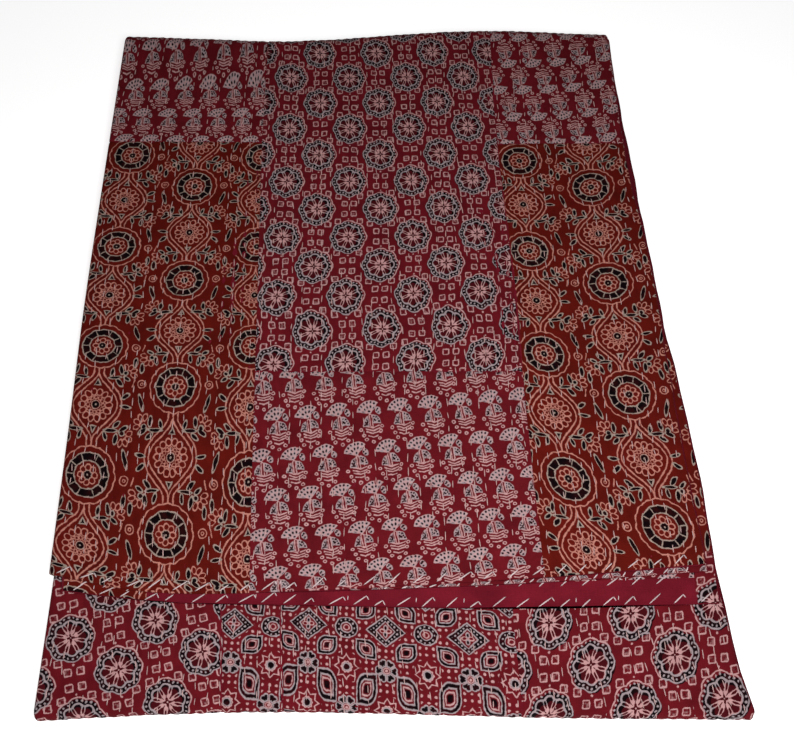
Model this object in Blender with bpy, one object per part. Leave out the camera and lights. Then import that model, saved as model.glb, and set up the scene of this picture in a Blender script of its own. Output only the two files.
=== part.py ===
"""Kantha quilt, folded in four across its width and then in four along its length.

The quilt is one hand-stitched cloth, so it is one solid. Open it is about 2.29 by 2.82 m. Its width is
folded into four plies, and the strip of four plies is folded back and forth into four layers, which makes
a stack of sixteen plies. The top layer and the one under it end in hems at the front. The two lowest
layers are joined by a fold that comes forward past both hems.

The solid is a tube: a closed section of the four plies, carried along the back-and-forth path of the
layers, and capped at the two hems. +X is to the right, +Y to the back fold and +Z up.
"""

import math
from collections import namedtuple

import bmesh
import bpy
from mathutils import Vector

MM = 0.001

# The open quilt, from its hems, and its four plies across
QUILT_WIDTH = 2290 * MM
PLIES = 4
PLY_WIDTH = QUILT_WIDTH / PLIES

# The stitched cloth, and the air that its folds leave
CLOTH = 1.7 * MM
PLY_GAP = 0.5 * MM
LAYER_GAP = 0.8 * MM
PLY_PITCH = CLOTH + PLY_GAP
STRIP = (PLIES - 1) * PLY_PITCH + CLOTH

# Rows of running stitch run along the quilt, and the cloth puffs up between them
STITCH_ROWS = 57
ROW_DEPTH = 0.7 * MM

# How far the hems of plies 3 and 4 reach to the right past the middle of the fold above them
HEM_PAST_FOLD = {3: 4 * MM, 4: 1.5 * MM}

# Steps round the folds
TIGHT_FOLD_STEPS = 4
SIDE_FOLD_STEPS = 6
FRONT_FOLD_STEPS = 5
BACK_FOLD_STEPS = 7

# How the quilt lies, in millimetres. A table row is one line across a layer: its left and right edges,
# how far the layer rises there, and its distance from the front at five places across. The places are
# stitch rows, counted from the left edge.
PLACES = (0, 9, 20, 41, 57)
RISE_ACROSS = (0.2, 0.8, 1.0, 0.8, 0.2)
Line = namedtuple("Line", "left right rise y")

BACK = Line(-287, 276, 0.0, (797, 790, 782, 790, 778))
FRONT = Line(-301, 298, 0.0, (70, 71, 69, 56, 48))

TOP_LAYER = (
    Line(-296, 276, 0.0, (180, 161, 157, 160, 167)),
    Line(-295, 274, 1.4, (310, 304, 302, 304, 303)),
    Line(-295, 276, 0.5, (452, 450, 449, 450, 448)),
    Line(-291, 271, 1.6, (630, 627, 624, 627, 622)),
    BACK,
)
LOWEST_LAYER = (
    BACK,
    Line(-294, 281, 0.0, (440, 440, 437, 434, 430)),
    FRONT,
)
FRONT_LAYER = (
    FRONT,
    Line(-299, 290, 0.0, (150, 150, 148, 140, 136)),
    Line(-293, 280, 0.0, (440, 440, 437, 434, 430)),
    BACK,
)
SECOND_LAYER = (
    BACK,
    Line(-293, 280, 0.0, (440, 440, 437, 434, 430)),
    Line(-292, 287, 0.0, (262, 256, 250, 242, 240)),
    Line(-288, 284, 0.0, (166, 153, 146, 135, 133)),
)

# How far each ply's end comes forward of its layer's hem line, in millimetres, at the left and right.
# The plies are counted from the inner side of the strip to its outer side.
HemStep = namedtuple("HemStep", "left right")
TOP_HEM = (HemStep(-4, 1), HemStep(-3, 7), HemStep(-2, 2), HemStep(0, 0))
SECOND_HEM = (HemStep(0, 0), HemStep(-3, -2), HemStep(-1, -4), HemStep(-5, -2))

# A place in the strip's section: across from the left edge, up from the strip's inner side, and the
# share of the stitch rows' depth that it takes
Spot = namedtuple("Spot", "across up dent")

# A place on the path of the layers: its line, how far behind that line it is, the height of the strip's
# inner side, the strip's outward direction, the share of the stitch rows' depth there, and the steps of
# the hem that ends there
Station = namedtuple("Station", "line behind up out_y out_z ridged hem")


def turn(centre, middle, radius, start, end, steps):
    """The points inside an arc of the section, from one angle to another, without its two ends."""
    points = []
    for step in range(1, steps):
        angle = math.radians(start + (end - start) * step / steps)
        across = centre + radius * math.cos(angle)
        points.append(Spot(across, middle + radius * math.sin(angle), 0.0))
    return points


def section_side(face):
    """One side of the folded strip's section, from the hem of ply 3 to the hem of ply 4.

    The plies are joined 3 to 2 by a fold at the left, 2 to 1 by a fold at the right, and 1 to 4 by a
    fold at the left that goes round the first one. face is 1 on the printed side and -1 on the other.
    """
    half = CLOTH / 2
    # Heights of the plies' middles above the inner side of the strip, ply 4 lowest and ply 1 highest
    ply = {number: half + (PLIES - number) * PLY_PITCH for number in range(1, PLIES + 1)}
    small = (ply[1] - ply[2]) / 2
    large = (ply[1] - ply[4]) / 2
    left = large + half
    right = PLY_WIDTH - small - half

    def run(height, backwards, end=right):
        """A flat ply, with a point at each of the five places across."""
        points = []
        for place in PLACES:
            across = left + (end - left) * place / STITCH_ROWS
            points.append(Spot(across, height, 0.0))
        return points[::-1] if backwards else points

    def ridges(height):
        """The printed side of ply 1, right to left, which dips at each row of stitches."""
        points = []
        for step in range(2 * STITCH_ROWS, -1, -1):
            across = left + (right - left) * step / (2 * STITCH_ROWS)
            points.append(Spot(across, height, float(step % 2)))
        return points

    side = run(ply[3] + face * half, True, right + HEM_PAST_FOLD[3])
    side += turn(left, (ply[3] + ply[2]) / 2, small - face * half, 270, 90, TIGHT_FOLD_STEPS)
    side += run(ply[2] - face * half, False)
    side += turn(right, (ply[2] + ply[1]) / 2, small + face * half, -90, 90, TIGHT_FOLD_STEPS)
    side += ridges(ply[1] + half) if face > 0 else run(ply[1] - half, True)
    side += turn(left, (ply[1] + ply[4]) / 2, large + face * half, 90, 270, SIDE_FOLD_STEPS)
    side += run(ply[4] - face * half, False, right + HEM_PAST_FOLD[4])
    return side


def section():
    """The closed section of the strip: out along its printed side and back along the other."""
    loop = section_side(1) + section_side(-1)[::-1]
    return loop + loop[:1]


def flat_run(lines, up, out_z, ridged):
    """Stations along one flat layer."""
    return [Station(line, 0.0, up, 0.0, out_z, ridged, None) for line in lines]


def round_fold(line, low, high, start, end, steps, out, ridged_from, ridged_to):
    """Stations round a fold between two layers, without its ends. out is 1 where the strip's outer side
    is outside the fold, and -1 where it is inside."""
    stations = []
    radius = (high - low) / 2
    for step in range(1, steps):
        share = step / steps
        angle = math.radians(start + (end - start) * share)
        ahead, above = math.cos(angle), math.sin(angle)
        ridged = ridged_from + (ridged_to - ridged_from) * share
        height = (low + high) / 2 + radius * above
        stations.append(Station(line, radius * ahead, height, out * ahead, out * above, ridged, None))
    return stations


def path():
    """The stations of the strip, from the top layer's hem to the second layer's hem."""
    lowest = STRIP
    front = lowest + LAYER_GAP
    second = front + 2 * STRIP + LAYER_GAP
    top = second + LAYER_GAP
    stations = flat_run(TOP_LAYER, top, 1, 1.0)
    stations += round_fold(BACK, lowest, top, 90, -90, BACK_FOLD_STEPS, 1, 1.0, 0.0)
    stations += flat_run(LOWEST_LAYER, lowest, -1, 0.0)
    stations += round_fold(FRONT, lowest, front, -90, -270, FRONT_FOLD_STEPS, 1, 0.0, 1.0)
    stations += flat_run(FRONT_LAYER, front, 1, 1.0)
    stations += round_fold(BACK, front, second, -90, 90, TIGHT_FOLD_STEPS, -1, 0.0, 0.0)
    stations += flat_run(SECOND_LAYER, second, -1, 0.0)
    stations[0] = stations[0]._replace(hem=TOP_HEM)
    stations[-1] = stations[-1]._replace(hem=SECOND_HEM)
    return stations


def between(values, row):
    """A value at a stitch row, on straight lines between the five places across."""
    row = min(max(row, PLACES[0]), PLACES[-1])
    spans = zip(PLACES, PLACES[1:], values, values[1:])
    start, end, first, last = next(span for span in spans if row <= span[1])
    return first + (last - first) * (row - start) / (end - start)


def lay(spot, station):
    """The point where one place of the section lies at one station."""
    line = station.line
    share = spot.across / PLY_WIDTH
    row = share * STITCH_ROWS
    height = spot.up - spot.dent * station.ridged * ROW_DEPTH
    x = (line.left + (line.right - line.left) * share) * MM
    y = between(line.y, row) * MM + station.behind + station.out_y * height
    z = station.up + between(RISE_ACROSS, row) * line.rise * MM + station.out_z * height
    if station.hem:
        step = station.hem[min(int(spot.up / PLY_PITCH), PLIES - 1)]
        y -= (step.left + (step.right - step.left) * share) * MM
    return Vector((x, y, z))


def fold_cloth():
    """The folded quilt as one closed mesh, with its origin under the middle of its footprint."""
    across = section()
    along = path()
    mesh = bmesh.new()
    columns = len(across) - 1
    rows = len(along) - 1
    bmesh.ops.create_grid(mesh, x_segments=columns, y_segments=rows, size=0.5)
    for vert in mesh.verts:
        column = round((vert.co.x + 0.5) * columns)
        row = round((vert.co.y + 0.5) * rows)
        vert.co = lay(across[column], along[row])
    bmesh.ops.remove_doubles(mesh, verts=mesh.verts, dist=0.001 * MM)
    bmesh.ops.holes_fill(mesh, edges=mesh.edges)
    bmesh.ops.recalc_face_normals(mesh, faces=mesh.faces)
    low = Vector(min(vert.co[axis] for vert in mesh.verts) for axis in range(3))
    high = Vector(max(vert.co[axis] for vert in mesh.verts) for axis in range(3))
    foot = Vector(((low.x + high.x) / 2, (low.y + high.y) / 2, low.z))
    bmesh.ops.translate(mesh, verts=mesh.verts, vec=-foot)
    return mesh


def block_printed_cotton():
    """Madder-red cotton, dull and soft."""
    material = bpy.data.materials.new("block_printed_cotton")
    material.use_nodes = True
    shader = material.node_tree.nodes["Principled BSDF"]
    shader.inputs["Base Color"].default_value = (0.19, 0.012, 0.016, 1.0)
    shader.inputs["Roughness"].default_value = 0.92
    shader.inputs["Metallic"].default_value = 0.0
    return material


def main():
    for old in list(bpy.data.objects):
        bpy.data.objects.remove(old)
    folded = fold_cloth()
    data = bpy.data.meshes.new("quilt")
    folded.to_mesh(data)
    folded.free()
    data.materials.append(block_printed_cotton())
    quilt = bpy.data.objects.new("quilt", data)
    bpy.context.scene.collection.objects.link(quilt)


main()
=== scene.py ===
"""A folded kantha quilt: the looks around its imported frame.

The quilt is one hand-stitched cloth of block-printed cotton patches. Its width is folded into four plies,
and the strip of four plies is folded back and forth into four layers. A place on the cloth is given by two
distances in millimetres: across, from the strip's left edge round its plies, and along, from the top hem
round the layers.
"""

import math
import random
from collections import namedtuple

import bmesh
import bpy
from bpy.props import FloatProperty, FloatVectorProperty, PointerProperty
from bpy.types import Operator, Panel, PropertyGroup
from mathutils import Matrix, Vector, noise


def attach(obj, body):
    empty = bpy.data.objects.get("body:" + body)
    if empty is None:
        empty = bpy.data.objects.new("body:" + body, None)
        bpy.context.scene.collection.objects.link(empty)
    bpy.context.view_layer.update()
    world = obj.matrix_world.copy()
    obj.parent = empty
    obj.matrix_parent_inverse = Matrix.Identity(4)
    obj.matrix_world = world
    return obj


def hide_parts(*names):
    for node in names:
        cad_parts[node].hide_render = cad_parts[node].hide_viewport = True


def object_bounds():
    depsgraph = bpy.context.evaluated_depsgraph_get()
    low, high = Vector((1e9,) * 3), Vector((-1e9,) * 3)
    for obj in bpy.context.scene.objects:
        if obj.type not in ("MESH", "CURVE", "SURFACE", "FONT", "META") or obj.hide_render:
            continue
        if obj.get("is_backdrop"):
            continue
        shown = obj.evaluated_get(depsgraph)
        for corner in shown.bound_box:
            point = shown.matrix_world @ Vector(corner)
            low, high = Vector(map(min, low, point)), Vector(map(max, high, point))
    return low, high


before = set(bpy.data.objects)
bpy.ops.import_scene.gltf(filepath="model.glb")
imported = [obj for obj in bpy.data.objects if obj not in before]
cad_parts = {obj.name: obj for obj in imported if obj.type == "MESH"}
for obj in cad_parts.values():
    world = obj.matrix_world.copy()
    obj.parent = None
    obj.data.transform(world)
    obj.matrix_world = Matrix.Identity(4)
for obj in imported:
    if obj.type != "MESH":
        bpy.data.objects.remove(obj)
CAD_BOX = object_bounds()

bl_info = {
    "name": "Folded kantha quilt",
    "version": (1, 0, 0),
    "blender": (4, 5, 0),
    "location": "3D View > Sidebar > Quilt",
    "description": "Builds a folded, hand-stitched patchwork quilt of block-printed cotton",
    "category": "Object",
}

MM = 0.001
BODY = "root"
NODE = "quilt"

# ---- The cloth and how it is folded ----

# The open quilt, and its four plies across
QUILT_WIDTH = 2290.0
PLIES = 4
PLY_WIDTH = QUILT_WIDTH / PLIES

# The stitched cloth, and the air that its folds leave
CLOTH = 1.7
PLY_GAP = 0.5
LAYER_GAP = 0.8
PLY_PITCH = CLOTH + PLY_GAP
STRIP = (PLIES - 1) * PLY_PITCH + CLOTH
HALF = CLOTH / 2

# Heights of the plies' middles above the strip's inner side, and the radii of its folds at mid cloth
PLY = {number: HALF + (PLIES - number) * PLY_PITCH for number in range(1, PLIES + 1)}
SMALL = (PLY[1] - PLY[2]) / 2
LARGE = (PLY[1] - PLY[4]) / 2
LEFT = LARGE + HALF
RIGHT = PLY_WIDTH - SMALL - HALF
HEM_PAST_FOLD = {3: 4.0, 4: 1.5}

# Rows of running stitch along the quilt
STITCH_ROWS = 57
ROW_PITCH = (RIGHT - LEFT) / STITCH_ROWS

# The printed patches lie on the body of the cloth, whose printed face is this much lower
PATCH_DEPTH = 0.9
SEAM_DEPTH = 0.75

# Under the middle of the quilt's footprint, from the place under the camera
FOOT = Vector((-0.4, 427.0, 0.0))

# How the quilt lies, in millimetres: lines across each layer, with the left and right edges, how far the
# layer rises there, and the distance from the front at five places across, counted in stitch rows
PLACES = (0, 9, 20, 41, 57)
RISE_ACROSS = (0.2, 0.8, 1.0, 0.8, 0.2)
Line = namedtuple("Line", "left right rise y")

BACK = Line(-287, 276, 0.0, (797, 790, 782, 790, 778))
FRONT = Line(-301, 298, 0.0, (70, 71, 69, 56, 48))

TOP_LAYER = (
    Line(-296, 276, 0.0, (180, 161, 157, 160, 167)),
    Line(-295, 274, 1.4, (310, 304, 302, 304, 303)),
    Line(-295, 276, 0.5, (452, 450, 449, 450, 448)),
    Line(-291, 271, 1.6, (630, 627, 624, 627, 622)),
    BACK,
)
LOWEST_LAYER = (BACK, Line(-294, 281, 0.0, (440, 440, 437, 434, 430)), FRONT)
FRONT_LAYER = (
    FRONT,
    Line(-299, 290, 0.0, (150, 150, 148, 140, 136)),
    Line(-293, 280, 0.0, (440, 440, 437, 434, 430)),
    BACK,
)
SECOND_LAYER = (
    BACK,
    Line(-293, 280, 0.0, (440, 440, 437, 434, 430)),
    Line(-292, 287, 0.0, (262, 256, 250, 242, 240)),
    Line(-288, 284, 0.0, (166, 153, 146, 135, 133)),
)

# How far each ply's end comes forward of its layer's hem line, at the left and right, inner ply first
HemStep = namedtuple("HemStep", "left right")
TOP_HEM = (HemStep(-4, 1), HemStep(-3, 7), HemStep(-2, 2), HemStep(0, 0))
SECOND_HEM = (HemStep(0, 0), HemStep(-3, -2), HemStep(-1, -4), HemStep(-5, -2))

# Heights of the strip's inner side in each layer
LOWEST_UP = STRIP
FRONT_UP = LOWEST_UP + LAYER_GAP
SECOND_UP = FRONT_UP + 2 * STRIP + LAYER_GAP
TOP_UP = SECOND_UP + LAYER_GAP

# A place in the strip's section: across from the left edge and up from the inner side, with the way
# that the printed face looks there
Spot = namedtuple("Spot", "across up face_across face_up")

# A leg of the path that the layers take. A flat leg follows lines, with the strip's outer side up or
# down; a fold goes round a line, between two heights and two angles.
Flat = namedtuple("Flat", "length lines up out")
Fold = namedtuple("Fold", "length line low high start end out")


def mean_y(line):
    """The middle of a line's distances from the front."""
    return sum(line.y) / len(line.y)


def run_length(lines):
    """How long a flat leg is."""
    return abs(mean_y(lines[-1]) - mean_y(lines[0]))


def fold_length(low, high, out):
    """The length of the strip's outer face, or of its inner face where that is outside, round a fold."""
    return math.pi * ((high - low) / 2 + (STRIP if out > 0 else 0.0))


PATH = (
    Flat(run_length(TOP_LAYER), TOP_LAYER, TOP_UP, 1),
    Fold(fold_length(LOWEST_UP, TOP_UP, 1), BACK, LOWEST_UP, TOP_UP, 90, -90, 1),
    Flat(run_length(LOWEST_LAYER), LOWEST_LAYER, LOWEST_UP, -1),
    Fold(fold_length(LOWEST_UP, FRONT_UP, 1), FRONT, LOWEST_UP, FRONT_UP, -90, -270, 1),
    Flat(run_length(FRONT_LAYER), FRONT_LAYER, FRONT_UP, 1),
    Fold(fold_length(FRONT_UP, SECOND_UP, -1), BACK, FRONT_UP, SECOND_UP, -90, 90, -1),
    Flat(run_length(SECOND_LAYER), SECOND_LAYER, SECOND_UP, -1),
)
ENDS = [sum(leg.length for leg in PATH[: count + 1]) for count in range(len(PATH))]
TOP_END, BACK_END, LOWEST_END, FRONT_FOLD_END, FRONT_END, _, PATH_END = ENDS

# Where the strip stands at one distance along: its left and right edges, its distances from the front,
# its rise, how far behind them and how high its inner side is, and the way that its outer side looks
Station = namedtuple("Station", "left right y rise behind up out_y out_z")


def ease(share):
    """Smooth step from 0 to 1."""
    share = min(max(share, 0.0), 1.0)
    return share * share * (3 - 2 * share)


def curve(knots, values, place):
    """A smooth curve through values at knots, without overshoot at its ends."""
    last = len(knots) - 2
    span = 0
    while span < last and place > knots[span + 1]:
        span += 1
    start, end = knots[span], knots[span + 1]
    width = end - start
    share = min(max((place - start) / width, 0.0), 1.0)
    chord = (values[span + 1] - values[span]) / width
    before = chord
    after = chord
    if span > 0:
        before = (values[span + 1] - values[span - 1]) / (end - knots[span - 1])
    if span < last:
        after = (values[span + 2] - values[span]) / (knots[span + 2] - start)
    flip = 1 - share
    return (
        values[span] * (1 + 2 * share) * flip * flip
        + before * width * share * flip * flip
        + values[span + 1] * share * share * (3 - 2 * share)
        - after * width * share * share * flip
    )


def station(along):
    """Where the strip stands at one distance along it from the top hem."""
    along = min(max(along, 0.0), PATH_END)
    for leg, end in zip(PATH, ENDS):
        if along <= end:
            break
    done = along - (end - leg.length)
    if isinstance(leg, Flat):
        first = mean_y(leg.lines[0])
        knots = [abs(mean_y(line) - first) for line in leg.lines]
        left = curve(knots, [line.left for line in leg.lines], done)
        right = curve(knots, [line.right for line in leg.lines], done)
        rise = curve(knots, [line.rise for line in leg.lines], done)
        y = [curve(knots, [line.y[place] for line in leg.lines], done) for place in range(len(PLACES))]
        return Station(left, right, y, rise, 0.0, leg.up, 0.0, leg.out)
    radius = (leg.high - leg.low) / 2
    angle = math.radians(leg.start + (leg.end - leg.start) * done / leg.length)
    ahead, above = math.cos(angle), math.sin(angle)
    height = (leg.low + leg.high) / 2 + radius * above
    left, right, _, y = leg.line
    return Station(left, right, y, 0.0, radius * ahead, height, leg.out * ahead, leg.out * above)


def arc(centre, middle, radius, angle):
    """A place on a fold of the section, whose printed face looks out from the fold's centre."""
    ahead, above = math.cos(angle), math.sin(angle)
    return Spot(centre + radius * ahead, middle + radius * above, ahead, above)


RIGHT_TURN = math.pi * (SMALL + HALF)
LEFT_TURN = math.pi * (LARGE + HALF)
UNDER_LEFT = LEFT - LEFT_TURN


def around(across):
    """The printed face at one distance across: past RIGHT it goes round the right fold, below LEFT
    round the left fold, and below UNDER_LEFT back along ply 4."""
    if across > RIGHT:
        angle = math.pi / 2 - (across - RIGHT) / (SMALL + HALF)
        return arc(RIGHT, (PLY[1] + PLY[2]) / 2, SMALL + HALF, angle)
    if across >= LEFT:
        return Spot(across, PLY[1] + HALF, 0.0, 1.0)
    if across >= UNDER_LEFT:
        angle = math.pi / 2 + (LEFT - across) / (LARGE + HALF)
        return arc(LEFT, (PLY[1] + PLY[4]) / 2, LARGE + HALF, angle)
    return Spot(LEFT + UNDER_LEFT - across, PLY[4] - HALF, 0.0, -1.0)


# The stack's open right edge strays: over what share of the width, how far, and in waves how long
STRAY_SHARE = 0.18
STRAY = 1.8
STRAY_WAVE = 38


def wander(across, along):
    """How far the stack's open right edge strays to the side."""
    reach = ease((across / PLY_WIDTH - (1 - STRAY_SHARE)) / STRAY_SHARE)
    return STRAY * reach * noise.noise(Vector((along / STRAY_WAVE, 3.1, 0.0)))


def lay(spot, along, lift=0.0, ahead=0.0, hem=None):
    """The point, in metres, where one place of the section lies, lifted off its printed face."""
    here = station(along)
    share = spot.across / PLY_WIDTH
    row = min(max(share * STITCH_ROWS, 0), STITCH_ROWS)
    across = spot.across + lift * spot.face_across
    height = spot.up + lift * spot.face_up
    x = here.left + (here.right - here.left) * across / PLY_WIDTH + wander(across, along)
    y = curve(PLACES, here.y, row) + here.behind + here.out_y * height - ahead
    z = here.up + curve(PLACES, RISE_ACROSS, row) * here.rise + here.out_z * height
    if hem:
        step = hem[min(int(spot.up / PLY_PITCH), PLIES - 1)]
        y -= step.left + (step.right - step.left) * share
    return (Vector((x, y, z)) - FOOT) * MM


# ---- Quilting: rows of running stitch pull the cloth down, and it puffs and puckers between them ----

# Soft troughs and ridges that the cloth keeps from how it was put away: across, along, the way that
# they run, half their length and width, and their height in millimetres
Crease = namedtuple("Crease", "across along turn reach width height")
CREASES = (
    Crease(150, 330, 84, 150, 16, -0.55),
    Crease(420, 300, 95, 170, 18, -0.5),
    Crease(300, 250, 8, 130, 14, 0.5),
    Crease(250, 540, 4, 170, 15, 0.55),
    Crease(470, 520, -12, 90, 14, -0.5),
    Crease(80, 160, 20, 80, 12, 0.45),
    Crease(520, 110, -18, 60, 12, 0.45),
    Crease(330, 90, 0, 120, 12, -0.35),
)


def crease_height(across, along):
    """The height of the soft creases at one place."""
    total = 0.0
    for crease in CREASES:
        turn = math.radians(crease.turn)
        ahead, aside = across - crease.across, along - crease.along
        run = ahead * math.cos(turn) + aside * math.sin(turn)
        off = aside * math.cos(turn) - ahead * math.sin(turn)
        if abs(run) < crease.reach and abs(off) < 2 * crease.width:
            along_it, across_it = 1 - (run / crease.reach) ** 2, math.exp(-((off / crease.width) ** 2))
            total += crease.height * along_it * across_it
    return total


# Every second row's stitches are set off from the others', and each row's stray besides
ROW_OFFSET = 6.5
ROW_STRAY = 5.0

# How evenly a row's thread pulls the cloth down: between the stitches, and more in the middle of each
PINCH = (0.72, 0.28)

# Puckers of two sizes: how wide and how long they are, where their noise starts, and their share
Pucker = namedtuple("Pucker", "wide long seed share")
PUCKERS = (Pucker(16, 5.2, 0.0, 0.6), Pucker(34, 13, 5.0, 0.5))


def row_slide(row):
    """How far along its first stitch each row of stitches is shifted."""
    return ROW_STRAY * noise.noise(Vector((row * 0.73, 9.4, 0.0))) + (row % 2) * ROW_OFFSET


def quilting(across, along, settings):
    """How far the printed face stands above its lowest, for the puffs, puckers and soft creases."""
    place = (across - LEFT) / ROW_PITCH
    row = math.floor(place)
    off = abs(place - row - 0.5)
    pinch = PINCH[0] + PINCH[1] * math.cos(2 * math.pi * (along - row_slide(row)) / settings.stitch_step)
    dip = settings.row_depth * pinch * (0.5 + 0.5 * math.cos(2 * math.pi * off)) ** 1.6
    ruck = 0.0
    for pucker in PUCKERS:
        place = Vector((across / pucker.wide, along / pucker.long, pucker.seed))
        ruck += pucker.share * noise.noise(place)
    return -dip + settings.pucker * ruck + crease_height(across, along)


# ---- Settings ----


def linear(colour):
    """A linear colour from an sRGB hex value."""
    parts = [int(colour[start : start + 2], 16) / 255 for start in (1, 3, 5)]
    return tuple(part / 12.92 if part <= 0.04045 else ((part + 0.055) / 1.055) ** 2.4 for part in parts)


def dye(name, description, colour):
    """A colour property."""
    return FloatVectorProperty(
        name=name, description=description, default=linear(colour), subtype="COLOR", min=0, max=1
    )


class QuiltDyes(PropertyGroup):
    """Colours of the cloths, prints and thread."""

    crimson: dye("Crimson", "Ground of the rosette, posy and tile prints", "#6c151e")
    rust: dye("Rust", "Ground of the medallion print", "#63140d")
    band: dye("Plain crimson", "The plain cloth of the hem band and the quilt's back", "#761827")
    black: dye("Iron black", "Black and navy of the block prints", "#0e0408")
    resist: dye("Resist", "Lines that the resist paste kept pale", "#d6a5a4")
    resist_rust: dye("Resist on rust", "Resist lines on the rust ground", "#d48f80")
    outline: dye("Outline", "Resist lines round the black ink, which greys them", "#b5a3a7")
    outline_rust: dye("Outline on rust", "Resist lines round the black ink on the rust ground", "#b5a094")
    thread: dye("Hem thread", "Overcast stitch of the hems", "#e9d2d3")
    running_thread: dye("Running thread", "Rows of running stitch", "#dcb4b0")


def millimetres(name, description, default, least, most):
    """A size property, in millimetres."""
    description += " (mm)"
    return FloatProperty(name=name, description=description, default=default, min=least, max=most)


class QuiltStitching(PropertyGroup):
    """Sizes of the hand stitching."""

    row_depth: millimetres("Row depth", "How deep a stitch row lies", 0.8, 0, 2)
    pucker: millimetres("Pucker", "Height of the puckers between rows", 0.6, 0, 2)
    stitch_step: millimetres("Stitch step", "From one stitch to the next", 13.0, 4, 30)
    stitch_length: millimetres("Stitch length", "Thread seen in one stitch", 8.0, 2, 20)
    thread_width: millimetres("Thread width", "Width of the thread", 0.95, 0.2, 2)
    hem_thread_width: millimetres("Hem thread width", "Width of the hems' double thread", 1.35, 0.2, 2)
    overcast_length: millimetres("Overcast length", "One overcast stitch of the hem", 15.0, 4, 30)
    overcast_step: millimetres("Overcast step", "Between overcast stitches", 20.5, 6, 60)


def degrees(name, description, default):
    """An angle property."""
    return FloatProperty(
        name=name, description=description, default=math.radians(default), unit="ROTATION"
    )


class QuiltStage(PropertyGroup):
    """The camera and lights around the quilt."""

    eye_height: millimetres("Camera height", "Camera above the floor", 802, 100, 3000)
    tilt: degrees("Camera tilt", "From straight down", 25.0)
    heading: degrees("Camera heading", "About the vertical", -2.2)
    lens: millimetres("Lens", "Focal length on a 36 mm sensor", 40.08, 10, 200)
    light: FloatProperty(name="Light", description="Power of the main light (W)", default=7.3, min=0)


# ---- Materials ----


def add(tree, kind, inputs=(), out=None, **settings):
    """Add one node, with its settings and its links or values, and return one of its outputs, by default
    the first in use. Its kind may name its operation too."""
    kind, _, operation = kind.partition(".")
    node = tree.nodes.new("ShaderNode" + kind)
    if operation:
        settings["operation"] = operation
    for name, value in settings.items():
        setattr(node, name, value)
    pairs = inputs.items() if isinstance(inputs, dict) else enumerate(inputs)
    for key, value in pairs:
        if isinstance(value, bpy.types.NodeSocket):
            tree.links.new(value, node.inputs[key])
        elif value is not None:
            node.inputs[key].default_value = value
    if out is None:
        return next(output for output in node.outputs if output.enabled)
    return node.outputs[out]


# Every drawing below works on distances in millimetres: negative inside a shape, positive outside


def spot(tree, place, centre, radii, angle=0.0):
    """Distance outside a round or oval spot."""
    turn = (0, 0, math.radians(angle))
    local = add(tree, "Mapping", (place, (*centre, 0), turn, (*radii, 1)), vector_type="TEXTURE")
    reach = add(tree, "VectorMath.LENGTH", (local,))
    size = math.sqrt(radii[0] * radii[1])
    return add(tree, "Math.MULTIPLY_ADD", (reach, size, -size))


def bar(tree, place, centre, half, rounding, angle=0.0):
    """Distance outside a bar or square, given half its sides without their rounding."""
    turn = (0, 0, math.radians(angle))
    local = add(tree, "Mapping", (place, (*centre, 0), turn, (1, 1, 1)), vector_type="TEXTURE")
    reach = add(tree, "VectorMath.ABSOLUTE", (local,))
    past = add(tree, "VectorMath.SUBTRACT", (reach, (*half, 0)))
    past = add(tree, "VectorMath.MAXIMUM", (past, (0, 0, 0)))
    reach = add(tree, "VectorMath.LENGTH", (past,))
    return add(tree, "Math.SUBTRACT", (reach, rounding))


def sector(tree, place, centre, radii, first, last):
    """Distance outside a fan: a slice of a circle or oval between two angles."""
    local = add(tree, "VectorMath.SUBTRACT", (place, (*centre, 0)))
    shape = spot(tree, place, centre, radii)
    for angle, way in ((first, 1), (last, -1)):
        turn = math.radians(angle)
        normal = (way * math.sin(turn), -way * math.cos(turn), 0)
        side = add(tree, "VectorMath.DOT_PRODUCT", (local, normal))
        shape = add(tree, "Math.MAXIMUM", (shape, side))
    return shape


def line_at(tree, distance, at, width):
    """Distance outside a drawn line that follows a distance."""
    off = add(tree, "Math.SUBTRACT", (distance, at))
    off = add(tree, "Math.ABSOLUTE", (off,))
    return add(tree, "Math.SUBTRACT", (off, width / 2))


def drawn_loop(tree, place, centre, radii, width):
    """Distance outside a loop drawn with a line of this width."""
    return line_at(tree, spot(tree, place, centre, radii), 0, width)


def any_of(tree, distances):
    """Distance outside the nearest of several shapes."""
    nearest_one = distances[0]
    for distance in distances[1:]:
        nearest_one = add(tree, "Math.MINIMUM", (nearest_one, distance))
    return nearest_one


def only_in(tree, distance, *limits):
    """A shape cut to the inside of others."""
    for limit in limits:
        distance = add(tree, "Math.MAXIMUM", (distance, limit))
    return distance


def around_turns(tree, place, count, first=0.0):
    """A place turned about its centre into the first of a round of equal petals, which points to +X."""
    step = 2 * math.pi / count
    x = add(tree, "SeparateXYZ", (place,))
    angle = add(tree, "Math.ARCTAN2", (x.node.outputs[1], x))
    angle = add(tree, "Math.ADD", (angle, step / 2 - math.radians(first)))
    angle = add(tree, "Math.SNAP", (angle, step))
    angle = add(tree, "Math.MULTIPLY_ADD", (angle, -1, -math.radians(first)))
    return add(tree, "VectorRotate", {0: place, 3: angle}, rotation_type="Z_AXIS")


def repeated(tree, place, width, length):
    """A place within a motif's own repeat, measured from the middle of the repeat."""
    half = (width / 2, length / 2, 1)
    return add(tree, "VectorMath.WRAP", (place, half, tuple(-side for side in half)))


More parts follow.
